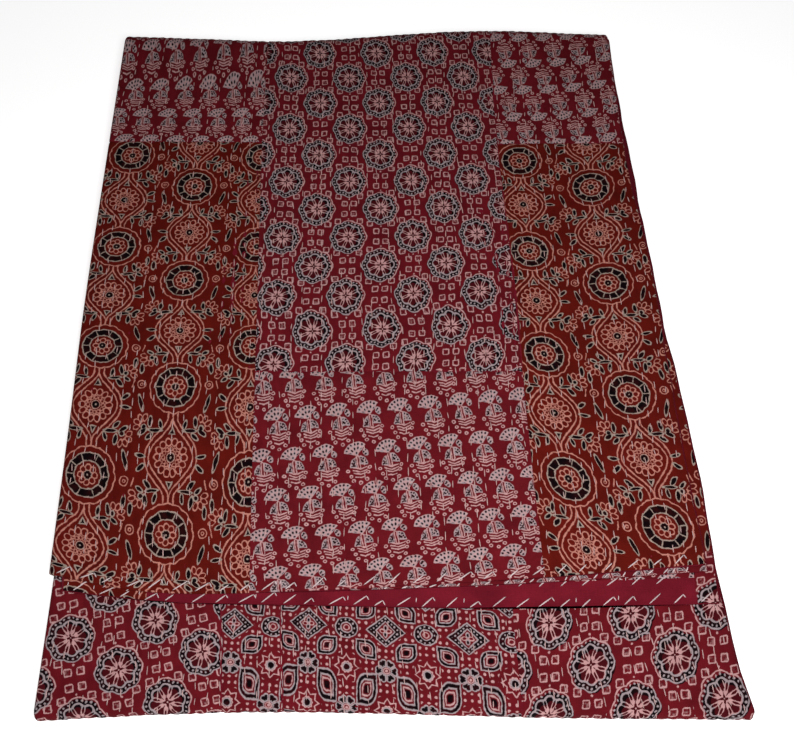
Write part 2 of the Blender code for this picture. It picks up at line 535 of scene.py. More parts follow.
def nearer(tree, place, first, second, repeat, reach=(1, 1)):
    """A place measured from the nearer of the two motifs in each repeat of a print."""
    places, lengths = [], []
    for centre in (first, second):
        moved = add(tree, "VectorMath.SUBTRACT", (place, (*centre, 0)))
        places.append(repeated(tree, moved, *repeat))
        shrunk = add(tree, "VectorMath.DIVIDE", (places[-1], (*reach, 1)))
        lengths.append(add(tree, "VectorMath.LENGTH", (shrunk,)))
    closer = add(tree, "Math.LESS_THAN", (lengths[1], lengths[0]))
    return add(tree, "Mix", {0: closer, 4: places[0], 5: places[1]}, data_type="VECTOR")


def outside(tree, distance, by=0.0):
    """The space outside a shape and a margin round it, as a limit for other shapes."""
    return add(tree, "Math.MULTIPLY_ADD", (distance, -1, by))


def grown(tree, distance, by):
    """A shape made larger, or smaller where by is negative."""
    return add(tree, "Math.SUBTRACT", (distance, by))


def scallops(tree, place, lobes, depth):
    """The distance from a rosette's centre, less where its edge bulges out."""
    x = add(tree, "SeparateXYZ", (place,))
    reach = add(tree, "VectorMath.LENGTH", (place,))
    angle = add(tree, "Math.ARCTAN2", (x.node.outputs[1], x))
    wave = add(tree, "Math.MULTIPLY", (angle, lobes / 2))
    wave = add(tree, "Math.COSINE", (wave,))
    wave = add(tree, "Math.ABSOLUTE", (wave,))
    return add(tree, "Math.MULTIPLY_ADD", (wave, -depth, reach))


# What a block print draws: resist lines, bare black ink, shapes inked black inside a resist line, and
# where the black is thin
Drawing = namedtuple("Drawing", "lines ink outlined dusky", defaults=(None, None))

# Squares beside each rosette, from the middle between two rosettes of a column
SQUARES = ((5.1, 6.2), (12.0, 15.4))


def rosettes(tree, place, *slip):
    """Scalloped rosettes with a beaded black ring, in a half-drop repeat between small squares. The
    black block was laid a little off the resist lines: slip says how far."""
    repeat = (70.4, 68.6)
    half_drop = (repeat[0] / 2, repeat[1] / 2)
    rosette = nearer(tree, place, (0, 0), half_drop, repeat)
    edge = scallops(tree, rosette, 8, 1.8)
    lines = [line_at(tree, edge, 17.9, 1.2)]
    bead = add(tree, "SeparateXYZ", (around_turns(tree, rosette, 28),))
    bead = add(tree, "CombineXYZ", (edge, bead.node.outputs[1]))
    lines.append(spot(tree, bead, (15.6, 0), (0.95, 0.85)))
    # A pale flower: eight dark petals with spokes between them, round a star of four points
    arch = around_turns(tree, rosette, 8)
    corner = add(tree, "VectorMath.ABSOLUTE", (arch,))
    spoke = add(tree, "VectorMath.DOT_PRODUCT", (corner, (-0.383, 0.924, 0)))
    petal = spot(tree, arch, (9.8, 0), (4.2, 3.7))
    petal = only_in(tree, petal, grown(tree, spoke, -1.55), grown(tree, edge, 12.5))
    holes = [petal, bar(tree, arch, (4.6, 0), (1.2, 0.05), 0.3)]
    holes.append(spot(tree, around_turns(tree, rosette, 8, 22.5), (9.2, 0), (2.9, 0.95)))
    holes.append(spot(tree, around_turns(tree, rosette, 4), (1.7, 0), (2.2, 1.0)))
    holes.append(spot(tree, rosette, (0, 0), (1.6, 1.6)))
    holes = any_of(tree, holes)
    lines.append(only_in(tree, grown(tree, edge, 13.5), outside(tree, holes)))
    lines.append(spot(tree, rosette, (0, 0), (0.6, 0.6)))
    laid = add(tree, "VectorMath.SUBTRACT", (rosette, (*slip, 0)))
    ring = line_at(tree, scallops(tree, laid, 8, 1.5), 14.4, 6.4)
    squares = nearer(tree, place, (0, half_drop[1]), (half_drop[0], 0), repeat)
    squares = add(tree, "VectorMath.ABSOLUTE", (squares,))
    dots = []
    for centre in SQUARES:
        square = bar(tree, squares, centre, (2.0, 2.0), 0.8)
        lines.append(line_at(tree, square, 0, 1.1))
        dots.append(spot(tree, squares, centre, (0.6, 0.6)))
    specks = add(tree, "VectorMath.ABSOLUTE", (rosette,))
    lines.append(spot(tree, specks, (0, 22.3), (0.85, 0.85)))
    dusky = any_of(tree, [only_in(tree, holes, grown(tree, edge, 11.6)), *dots])
    return Drawing(any_of(tree, lines), ring, dusky=dusky)


# Loops that end a posy's roots
ROOT_LOOPS = (
    (10.6, 0.8),
    (9.2, -3.6),
    (7.8, -10.2),
    (-8.7, -1.6),
    (-6.4, -6.7),
    (-4.2, -11.0),
    (2.0, -13.4),
)

# The posy's roots: where each is in the middle, how steeply it rises to both sides, and how far it goes
ROOTS = ((-0.6, 0.35, 6.5), (-3.3, 0.35, 6.5), (-5.5, 0.3, 6.0), (-8.8, 0.3, 4.5))

# The posy's fans, and the beads in them: how many would go right round, the first one's angle, how far
# out they are and their size, on the fan drawn as a circle
Fan = namedtuple("Fan", "apex radii first last")
Beads = namedtuple("Beads", "fan count first reach size")
FANS = {
    "top": Fan((0.3, 12.8), (12.6, 12.6), 52, 170),
    "left": Fan((-0.7, 1.3), (6.1, 9.8), 96, 181),
    "right": Fan((2.6, 4.1), (6.9, 8.2), -6, 96),
}
BEADS = (
    Beads("top", 20, 102, 10.7, (1.05, 0.85)),
    Beads("top", 13, 111, 6.6, (1.25, 0.8)),
    Beads("left", 16, 104, 5.9, (0.75, 0.7)),
    Beads("right", 16, 12, 5.8, (0.75, 0.7)),
)
SINGLE_BEADS = (
    ((-0.6, 15.1), 0.9),
    ((-3.2, 4.6), 0.95),
    ((5.0, 6.5), 0.95),
    ((7.3, 17.3), 0.85),
    ((8.2, 14.0), 0.85),
)


def posies(tree, place):
    """Posies: a leaning fan over two smaller ones, with a slanting stem between them and wavy roots."""
    repeat = (28.7, 75.0)
    first, second = (0, 5.0), (repeat[0] / 2 - 0.4, repeat[1] / 2 + 5.0)
    posy = nearer(tree, place, first, second, repeat, (12.0, 21))
    posy = add(tree, "VectorMath.ADD", (posy, (0, 5.0, 0)))
    fans = [sector(tree, posy, *fan) for fan in FANS.values()]
    fans = any_of(tree, [*fans, spot(tree, posy, (7.7, 15.6), (3.7, 2.5), 112)])
    beads = []
    for row in BEADS:
        apex, radii = FANS[row.fan].apex, FANS[row.fan].radii
        size = math.sqrt(radii[0] * radii[1])
        local = add(tree, "VectorMath.SUBTRACT", (posy, (*apex, 0)))
        local = add(tree, "VectorMath.MULTIPLY", (local, (size / radii[0], size / radii[1], 0)))
        local = around_turns(tree, local, row.count, row.first)
        beads.append(spot(tree, local, (row.reach, 0), row.size))
    for centre, size in SINGLE_BEADS:
        beads.append(spot(tree, posy, centre, (size, size)))
    beads = only_in(tree, any_of(tree, beads), grown(tree, fans, -0.6))
    stem = bar(tree, posy, (0.9, 6.4), (0.15, 5.1), 0.5, 6.3)
    holes = any_of(tree, [beads, stem])
    lines = [only_in(tree, fans, outside(tree, holes)), line_at(tree, stem, 0.5, 0.95)]
    # Wavy roots
    apart = add(tree, "SeparateXYZ", (posy,))
    side = add(tree, "Math.SUBTRACT", (apart, 1.9))
    side = add(tree, "Math.ABSOLUTE", (side,))
    for level, slope, reach in ROOTS:
        root = add(tree, "Math.MULTIPLY_ADD", (side, -slope, apart.node.outputs[1]))
        lines.append(only_in(tree, line_at(tree, root, level, 1.2), grown(tree, side, reach)))
    for centre in ROOT_LOOPS:
        lines.append(drawn_loop(tree, posy, centre, (1.3, 1.2), 1.0))
    return Drawing(any_of(tree, lines), beads)


Leaf = namedtuple("Leaf", "x y length width turn")

# What grows to the side of each eye of the medallion print, from the eye's middle: black leaves
EYE_LEAVES = (
    Leaf(15.5, 26.3, 5.5, 0.9, 5),
    Leaf(12.2, 31.8, 3.6, 1.2, 80),
    Leaf(19.6, 21.6, 4.0, 1.6, -48),
    Leaf(26.4, 25.7, 3.0, 1.2, -35),
    Leaf(20.6, 34.2, 4.2, 1.4, 100),
    Leaf(24.7, 31.2, 1.7, 1.7, 0),
    Leaf(27.0, 8.8, 3.7, 1.5, 38),
    Leaf(27.8, -0.7, 4.0, 1.1, -8),
    Leaf(21.2, -16.5, 3.4, 1.3, 42),
    Leaf(16.0, -21.6, 5.8, 1.1, 0),
    Leaf(11.5, -26.5, 3.4, 1.2, -75),
    Leaf(27.6, -20.0, 3.9, 1.5, 33),
    Leaf(21.2, -28.6, 4.0, 1.4, 85),
    Leaf(26.7, -23.6, 1.8, 1.8, 0),
    Leaf(31.3, -44.5, 7.3, 1.4, -72),
    Leaf(33.2, 42.2, 4.4, 1.5, 88),
)

# Half-open flowers there: the middle, the first petal's angle and the way that the flower opens
BLOOMS = (((26.5, 31.0), -17, 43), ((27.3, -25.3), -22, -42))


def medallions(tree, place):
    """Wheel medallions and pointed eyes in columns, with leaves and half-open flowers beside the eyes.
    The print is mirrored about each column, and turned half a turn from one column to the next."""
    pitch, column, step = 119.7, 73.0, 40.9
    x = add(tree, "SeparateXYZ", (place,))
    y = x.node.outputs[1]
    fold = add(tree, "Math.PINGPONG", (x, column))
    second = add(tree, "Math.GREATER_THAN", (fold, column / 2))
    aside = add(tree, "Math.PINGPONG", (x, column / 2))
    way = add(tree, "Math.MULTIPLY_ADD", (second, -2, 1))
    level = add(tree, "Math.MULTIPLY_ADD", (second, step, y))
    from_wheel = add(tree, "Math.WRAP", (level, pitch / 2, -pitch / 2))
    from_wheel = add(tree, "Math.MULTIPLY", (from_wheel, way))
    wheel = add(tree, "CombineXYZ", (aside, from_wheel))
    reach = add(tree, "VectorMath.LENGTH", (wheel,))
    tyre = line_at(tree, scallops(tree, wheel, 11, 0.5), 14.9, 6.8)
    lines = [line_at(tree, scallops(tree, wheel, 16, 0.9), 23.4, 1.1)]
    spokes = around_turns(tree, wheel, 11)
    lines.append(bar(tree, spokes, (15.0, 0), (3.4, 0.1), 0.32))
    lines.append(drawn_loop(tree, around_turns(tree, wheel, 8), (6.1, 0), (2.6, 2.35), 1.0))
    lines.append(grown(tree, reach, 0.7))
    ink = [grown(tree, reach, 3.1)]
    circle = spot(tree, wheel, (32.2, -1.6), (3.7, 3.7))
    lines += [line_at(tree, circle, 0, 0.95), line_at(tree, circle, -2.5, 0.8)]

    # The eye: a lens drawn out into two points, twice, round a rosette
    from_eye = add(tree, "Math.SUBTRACT", (level, pitch / 2))
    from_eye = add(tree, "Math.WRAP", (from_eye, pitch / 2, -pitch / 2))
    from_eye = add(tree, "Math.MULTIPLY", (from_eye, way))
    eye = add(tree, "CombineXYZ", (aside, from_eye))
    eye_reach = add(tree, "VectorMath.LENGTH", (eye,))
    height = add(tree, "Math.ABSOLUTE", (from_eye,))
    share = add(tree, "Math.DIVIDE", (height, 33.0))
    share = add(tree, "Math.POWER", (share, 2.0))
    share = add(tree, "Math.MULTIPLY_ADD", (share, -1, 1))
    share = add(tree, "Math.MAXIMUM", (share, 0))
    share = add(tree, "Math.POWER", (share, 2.35))
    lens = add(tree, "Math.MULTIPLY_ADD", (share, -20.2, aside))
    ramps = ((0, 13, 1.0, 0.61), (21, 30, 0.61, 0.78))
    slants = [add(tree, "MapRange", (height, *ramp)) for ramp in ramps]
    slant = add(tree, "Math.MAXIMUM", slants)
    lens = add(tree, "Math.MULTIPLY", (lens, slant))
    lids = any_of(tree, [line_at(tree, lens, 0, 1.05), line_at(tree, lens, 3.5, 1.05)])
    lines.append(only_in(tree, lids, outside(tree, reach, 24.0)))
    lines.append(drawn_loop(tree, around_turns(tree, eye, 14), (12.2, 0), (3.2, 2.6), 1.0))
    lines.append(drawn_loop(tree, around_turns(tree, eye, 12), (6.8, 0), (1.5, 1.5), 0.8))
    lines += [grown(tree, eye_reach, 0.9), line_at(tree, eye_reach, 3.8, 0.9)]
    ink.append(grown(tree, eye_reach, 3.1))
    thorn = add(tree, "VectorMath.ABSOLUTE", (eye,))
    thorn = add(tree, "VectorMath.DOT_PRODUCT", (thorn, (0.894, 0.447, 0)))
    thorn = only_in(tree, grown(tree, thorn, 10.82), outside(tree, height, 18.8))
    outlined = [tyre, thorn]
    for leaf in EYE_LEAVES:
        radii = (leaf.length + 0.5, leaf.width + 0.5)
        outlined.append(spot(tree, eye, (leaf.x, leaf.y), radii, leaf.turn))
    for centre, first, way_out in BLOOMS:
        bloom = add(tree, "VectorMath.SUBTRACT", (eye, (*centre, 0)))
        petals = drawn_loop(tree, around_turns(tree, bloom, 9, first), (6.4, 0), (3.2, 2.05), 0.95)
        turn = math.radians(way_out)
        way_in = (-math.cos(turn), -math.sin(turn), 0)
        inward = add(tree, "VectorMath.DOT_PRODUCT", (bloom, way_in))
        lines.append(only_in(tree, petals, grown(tree, inward, -0.9)))
    lines.append(bar(tree, eye, (33.2, 21.0), (3.5, 0.05), 0.45, 76))
    return Drawing(any_of(tree, lines), any_of(tree, ink), any_of(tree, outlined))


def tiles(tree, place):
    """Rows of diamonds, ovals, stars and black flowers, with pointed eyes and dots between them."""
    column, row = 34.2, 32.4
    repeat = (2 * column, 4 * row)
    diamond = nearer(tree, place, (0, 0), (column, -3 * row), repeat)
    oval = nearer(tree, place, (column, 0), (0, -3 * row), repeat)
    flower = nearer(tree, place, (0, -row), (column, -2 * row), repeat)
    star = nearer(tree, place, (column, -row), (0, -2 * row), repeat)
    # Diamond
    corner = add(tree, "VectorMath.ABSOLUTE", (diamond,))
    sides = add(tree, "VectorMath.DOT_PRODUCT", (corner, (0.61, 0.792, 0)))
    inner = add(tree, "VectorMath.DOT_PRODUCT", (corner, (0.699, 0.715, 0)))
    frame_band = only_in(tree, grown(tree, sides, 10.1), outside(tree, inner, 5.7))
    across = add(tree, "VectorMath.DOT_PRODUCT", (corner, (0.753, -0.655, 0)))
    along = add(tree, "VectorMath.DOT_PRODUCT", (corner, (0.655, 0.753, 0)))
    beads = add(tree, "Math.PINGPONG", (across, 1.65))
    beads = add(tree, "CombineXYZ", (beads, along))
    lines = [spot(tree, beads, (0.0, 7.9), (0.78, 0.72))]
    lines.append(drawn_loop(tree, around_turns(tree, diamond, 4), (2.8, 0), (2.05, 1.5), 0.95))
    ink = [spot(tree, corner, (0, 2.8), (1.1, 1.6))]
    # Oval
    rim = spot(tree, oval, (0, 0), (9.8, 8.3))
    oval_band = line_at(tree, rim, -2.25, 4.5)
    lines.append(spot(tree, around_turns(tree, oval, 11), (6.9, 0), (0.8, 0.75)))
    lines.append(drawn_loop(tree, oval, (0, 0), (2.4, 2.1), 0.9))
    # Black flower of six petals
    petal = add(tree, "VectorMath.ABSOLUTE", (around_turns(tree, flower, 6),))
    wedge = add(tree, "VectorMath.DOT_PRODUCT", (petal, (-0.5, 0.866, 0)))
    petal = only_in(tree, spot(tree, petal, (6.3, 1.3), (2.8, 2.3)), grown(tree, wedge, -0.55))
    lines.append(drawn_loop(tree, flower, (0, 0), (2.5, 2.4), 1.0))
    # Star of eight points round a black dot
    points = around_turns(tree, star, 8)
    ray = add(tree, "SeparateXYZ", (points,))
    slope = add(tree, "Math.ABSOLUTE", (ray.node.outputs[1],))
    slope = add(tree, "Math.MULTIPLY_ADD", (slope, 1.35, ray))
    slope = add(tree, "Math.MULTIPLY", (slope, 0.64))
    lines.append(line_at(tree, slope, 6.6, 1.05))
    dot = spot(tree, star, (0, 0), (3.2, 3.2))
    lines.append(line_at(tree, scallops(tree, star, 10, 0.7), 3.8, 1.4))
    # Pointed eyes, mirrored from each to the next: round in two quarters and square in two. Every
    # fourth row of them is tall.
    cell_x = add(tree, "SeparateXYZ", (place,))
    cell_y = cell_x.node.outputs[1]
    eye_x = add(tree, "Math.PINGPONG", (cell_x, column))
    eye_x = add(tree, "Math.SUBTRACT", (eye_x, column / 2))
    eye_y = add(tree, "Math.PINGPONG", (cell_y, row))
    eye_y = add(tree, "Math.SUBTRACT", (eye_y, row / 2))
    level = add(tree, "Math.WRAP", (cell_y, repeat[1], 0.0))
    tall = add(tree, "Math.COMPARE", (level, 2.5 * row, 0.5 * row))
    tall = add(tree, "Math.MULTIPLY_ADD", (tall, -0.42, 1.1))
    eye_y = add(tree, "Math.MULTIPLY", (eye_y, tall))
    eye = add(tree, "CombineXYZ", (eye_x, eye_y))
    quarter = add(tree, "Math.MULTIPLY", (eye_x, eye_y))
    quarter = add(tree, "Math.GREATER_THAN", (quarter, 0.0))
    round_side = add(tree, "VectorMath.LENGTH", (eye,))
    far_x = add(tree, "Math.ABSOLUTE", (eye_x,))
    far_y = add(tree, "Math.ABSOLUTE", (eye_y,))
    square_side = add(tree, "Math.MAXIMUM", (far_x, far_y))
    pod = add(tree, "Mix", {0: quarter, 2: square_side, 3: round_side})
    pod_band = line_at(tree, pod, 6.9, 3.0)
    lines.append(line_at(tree, pod, 3.4, 0.95))
    ink.append(grown(tree, pod, 2.2))
    outlined = any_of(tree, [frame_band, oval_band, petal, dot, pod_band])
    # Dots fill what is left of the ground
    dots = spot(tree, repeated(tree, place, 5.7, 5.4), (0, 0), (1.25, 1.25))
    blocks = [grown(tree, pod, 8.9), grown(tree, petal, 0.6), grown(tree, sides, 10.4), rim]
    blocks.append(spot(tree, star, (0, 0), (11.2, 11.2)))
    lines.append(only_in(tree, dots, outside(tree, any_of(tree, blocks), 1.6)))
    return Drawing(any_of(tree, lines), any_of(tree, ink), outlined)


def finish_shader(tree, shader, colour, height, strength, depth):
    """Give a shader its colour, and relief from a height between 0 and 1."""
    bump = add(tree, "Bump", {"Strength": strength, "Distance": depth, "Height": height})
    tree.links.new(colour, shader.inputs["Base Color"])
    tree.links.new(bump, shader.inputs["Normal"])


# The weave as it is drawn: threads this thick, so that they show, whose slubs are this long
WEAVE_THREAD = 0.9
WEAVE_SLUB = 7.0


def woven(tree, place, base, shader):
    """Plain-woven cotton: warp and weft of uneven threads."""
    sizes = ((1 / WEAVE_THREAD, 1 / WEAVE_SLUB, 0), (1 / WEAVE_SLUB, 1 / WEAVE_THREAD, 0))
    threads = [add(tree, "VectorMath.MULTIPLY", (place, size)) for size in sizes]
    threads = [add(tree, "TexNoise", {"Vector": way, "Scale": 1.0, "Detail": 1.0}) for way in threads]
    threads = add(tree, "Math.ADD", threads)
    tint = add(tree, "MapRange", (threads, 0.6, 1.4, 0.86, 1.12))
    tinted = add(tree, "VectorMath.SCALE", {0: base, 3: tint})
    finish_shader(tree, shader, tinted, threads, 0.35, 0.5 * MM)


def new_material(name, roughness):
    """A new material, with its node tree and its shader."""
    material = bpy.data.materials.new(name)
    material.use_nodes = True
    tree = material.node_tree
    shader = tree.nodes["Principled BSDF"]
    shader.inputs["Roughness"].default_value = roughness
    return material, tree, shader


def cotton(name):
    """A new cotton material, rough and dull, and the place on its cloth in millimetres."""
    material, tree, shader = new_material(name, 0.93)
    shader.inputs["Specular IOR Level"].default_value = 0.08
    place = add(tree, "UVMap", uv_map="cloth")
    place = add(tree, "VectorMath.SCALE", {0: place, 3: 1 / MM})
    return material, tree, shader, place


def uneven(tree, place, scale, detail, low, high, full=0.7):
    """Soft clouds between a low and a high value."""
    cloud = add(tree, "TexNoise", {"Vector": place, "Scale": scale, "Detail": detail})
    return add(tree, "MapRange", (cloud, 0.3, full, low, high))


def shade(tree, place, colour, low, high, size):
    """A colour that clouds slightly, as hand-dyed cloth does."""
    cloud = uneven(tree, place, 1 / size, 3.0, low, high)
    return add(tree, "VectorMath.SCALE", {0: tuple(colour), 3: cloud})


# The prints: what draws each, its dyes, and how far the black was laid off the lines
Print = namedtuple("Print", "name draw dyes slip", defaults=((),))
ON_CRIMSON = ("crimson", "resist", "outline")
ON_RUST = ("rust", "resist_rust", "outline_rust")
PRINTS = {
    "rosettes": Print("rosette_block_print", rosettes, ON_CRIMSON, (-1.5, -0.7)),
    "rosettes_left": Print("rosette_block_print_left", rosettes, ON_CRIMSON, (-0.6, -0.7)),
    "rosettes_right": Print("rosette_block_print_right", rosettes, ON_CRIMSON, (1.7, -1.7)),
    "posies": Print("posy_block_print", posies, ON_CRIMSON),
    "medallions": Print("medallion_block_print", medallions, ON_RUST),
    "tiles": Print("tile_block_print", tiles, ON_CRIMSON),
}

# How far ink and resist bleed to both sides of an edge, and the width of the line round inked shapes
BLEED = 0.34
OUTLINE_WIDTH = 1.05


def block_print(kind, dyes):
    """Cotton that was block printed by hand: resist lines first, then black and the madder ground. Lines
    waver and thicken, and the black is uneven."""
    material, tree, shader, place = cotton(kind.name)
    ground, resist, outline = [getattr(dyes, dye_name) for dye_name in kind.dyes]
    drift = add(tree, "TexNoise", {"Vector": place, "Scale": 0.16, "Detail": 2.0}, out=1)
    drift = add(tree, "VectorMath.SUBTRACT", (drift, (0.5, 0.5, 0.5)))
    drifted = add(tree, "VectorMath.MULTIPLY_ADD", (drift, (1.7, 1.7, 0.0), place))
    drawing = kind.draw(tree, drifted, *kind.slip)
    pale, dark = drawing.lines, drawing.ink
    if drawing.outlined:
        pale = any_of(tree, [pale, line_at(tree, drawing.outlined, 0, OUTLINE_WIDTH)])
        dark = any_of(tree, [dark, drawing.outlined])
    greyed = add(tree, "MapRange", (dark, 0.2, 1.3, 1.0, 0.0), interpolation_type="SMOOTHSTEP")
    lines = add(tree, "Mix", {0: greyed, 6: (*resist, 1), 7: (*outline, 1)}, data_type="RGBA")
    pale = add(tree, "Math.ADD", (pale, uneven(tree, place, 0.3, 2.0, 0.3, -0.25)))
    pale, dark = [
        add(tree, "MapRange", (shape, -BLEED, BLEED, 1.0, 0.0), interpolation_type="SMOOTHSTEP")
        for shape in (pale, dark)
    ]
    dark = add(tree, "Math.MULTIPLY", (dark, uneven(tree, place, 0.11, 3.0, 0.8, 1.0, 0.55)))
    pale = add(tree, "Math.MULTIPLY", (pale, uneven(tree, place, 0.07, 2.0, 0.82, 1.0)))
    base = shade(tree, place, ground, 0.8, 1.2, 26)
    coats = [(dark, (*dyes.black, 1)), (pale, lines)]
    if drawing.dusky:
        thin = add(tree, "MapRange", (drawing.dusky, -BLEED, BLEED, 0.55, 0.0))
        coats.insert(0, (thin, (*dyes.black, 1)))
    for cover, ink in coats:
        base = add(tree, "Mix", {0: cover, 6: base, 7: ink}, data_type="RGBA")
    woven(tree, place, base, shader)
    return material


def plain_cotton(name, colour):
    """Plain dyed cotton."""
    material, tree, shader, place = cotton(name)
    woven(tree, place, shade(tree, place, colour, 0.78, 1.16, 30), shader)
    return material


# How thick one strand of the thread is
STRAND = 0.2


def spun_thread(name, colour):
    """Soft cotton thread of a few strands, which lie aslant."""
    material, tree, shader = new_material(name, 0.8)
    shader.inputs["Sheen Weight"].default_value = 0.2
    place = add(tree, "TexCoord", out=3)
    wear = uneven(tree, place, 60.0, 2.0, 0.78, 1.05)
    tinted = add(tree, "VectorMath.SCALE", {0: tuple(colour), 3: wear})
    strands = add(tree, "TexWave", {"Vector": place, "Scale": 1 / (2 * math.pi * STRAND * MM) * 0.05})
    finish_shader(tree, shader, tinted, strands, 0.3, 0.1 * MM)
    return material


# ---- Making pieces ----


def grid_mesh(columns, rows, place_point, cloth_place):
    """A mesh from columns and rows, each point laid by a function, with its place on the cloth as UV."""
    mesh = bmesh.new()
    across, along = len(columns) - 1, len(rows) - 1
    bmesh.ops.create_grid(mesh, x_segments=across, y_segments=along, size=0.5)
    layer = mesh.loops.layers.uv.new("cloth")
    flat = {}
    for vert in mesh.verts:
        column = columns[round((vert.co.x + 0.5) * across)]
        row = rows[round((vert.co.y + 0.5) * along)]
        vert.co = place_point(column, row)
        flat[vert] = cloth_place(column, row)
    for face in mesh.faces:
        face.smooth = True
        for loop in face.loops:
            loop[layer].uv = flat[loop.vert]
    return mesh


def put_in_scene(name, data):
    """A new object in the scene."""
    new_object = bpy.data.objects.new(name, data)
    bpy.context.scene.collection.objects.link(new_object)
    return new_object


def to_data(mesh, name, material):
    """A finished mesh with its material."""
    data = bpy.data.meshes.new(name)
    mesh.to_mesh(data)
    mesh.free()
    data.materials.append(material)
    return data


def finish_piece(mesh, name, material):
    """A piece from a mesh, riding on the quilt's body."""
    piece = put_in_scene(name, to_data(mesh, name, material))
    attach(piece, BODY)
    return piece


def spread(start, end, step):
    """Even places from start to end, both included."""
    count = max(1, round(abs(end - start) / step))
    return [start + (end - start) * number / count for number in range(count + 1)]


# Where a print lies on the cloth: which it is, the cloth place of one of its motifs, and its aside and
# ahead from there as numbers for 1, x, y, x * x / 100, x * y / 100, y * y / 100 and y * y * y / 10000.
# Where the cloth is drawn in, the bend says from where to where along it, and how far aside and ahead.
Laid = namedtuple("Laid", "print across along aside ahead bend", defaults=(None,))
LAID = {
    "medallions_left": Laid(
        "medallions", 26.2, 345.8,
        (0.2497, 0.9711, -0.0212, 0.0257, 0.0062, -0.0059),
        (-1.037, 0.0438, 1.0437, -0.0127, 0.0016, -0.0034),
        (235, 0, 0, 36.3122),
    ),
    "posies_centre": Laid(
        "posies", 242.7, 102.3,
        (0.7389, 0.98, 0.0324, 0.0047, 0.0104, -0.0003),
        (1.2562, -0.0387, 1.0231, -0.0046, 0.007, -0.0897),
    ),
    "medallions_right": Laid(
        "medallions", 452.5, 327.3,
        (1.3093, 0.9969, -0.0034, -0.0278, -0.006, -0.0207),
        (0.6861, 0.0412, 1.0349, -0.0797, -0.0368, 0.0104),
        (235, 0, 0, 6.3642),
    ),
    "posies_left": Laid(
        "posies", 77.9, 539.6,
        (-0.9523, 1.0253, -0.0087, 0.0209, 0.013, 0.0544, -0.0155),
        (1.3903, -0.0197, 0.9372, -0.0216, -0.0954, -0.1746, -0.1068),
        (556, 584, 0, -7),
    ),
    "rosettes_centre": Laid(
        "rosettes", 199.3, 424.3,
        (-1.1843, 1.0315, -0.0325, 0.0103, 0.0101, 0.0191, 0.0023),
        (-0.2276, 0.0497, 0.9549, -0.0099, 0.0158, -0.016, -0.0021),
        (276, 240, -4.4, 5.4),
    ),
    "posies_right": Laid(
        "posies", 507.2, 526.4,
        (0.8515, -0.9963, -0.0209, 0.0133, -0.0043, 0.0326, -0.0091),
        (-1.7985, 0.1095, -0.964, 0.0915, 0.0137, 0.0219, 0.0061),
    ),
    "rosettes_left": Laid(
        "rosettes_left", 64.8, 1459.8,
        (-0.5856, 0.9819, 0.2087, 0.0273, -0.0105),
        (0.0853, -0.1756, 0.9376, -0.0041, 0.0041),
    ),
    "tiles_left": Laid(
        "tiles", 158, 1496.5,
        (0, 1.029, -0.0575),
        (0, 0.0896, 0.9658),
    ),
    "tiles_centre": Laid(
        "tiles", 287, 1489.4,
        (2.0544, 1.0298, -0.0476, -0.0457, -0.009),
        (0.2061, 0.093, 0.9627, -0.0147, 0.0002),
    ),
    "rosettes_right": Laid(
        "rosettes_right", 452, 1460.5,
        (1.3872, 1.0253, -0.1764, -0.0247, -0.0068),
        (-2.484, -0.0919, 0.9398, -0.0058, 0.0005),
    ),
}

# The ends of a seam or an edge: at the front and back of the cloth, or at its left and right
Edge = namedtuple("Edge", "near far")


def straight(place):
    """An edge that runs straight along or across the cloth."""
    return Edge(place, place)


# Edges that several patches have
LEFT_SIDE = straight(UNDER_LEFT)
RIGHT_SIDE = straight(RIGHT + RIGHT_TURN)
HEM = straight(0)
UNDER = straight(BACK_END + 4)
UNDER_SEAM = straight(1060.0)
STRIP_START = straight(LOWEST_END - 6)
STRIP_STOP = straight(FRONT_FOLD_END + 118)

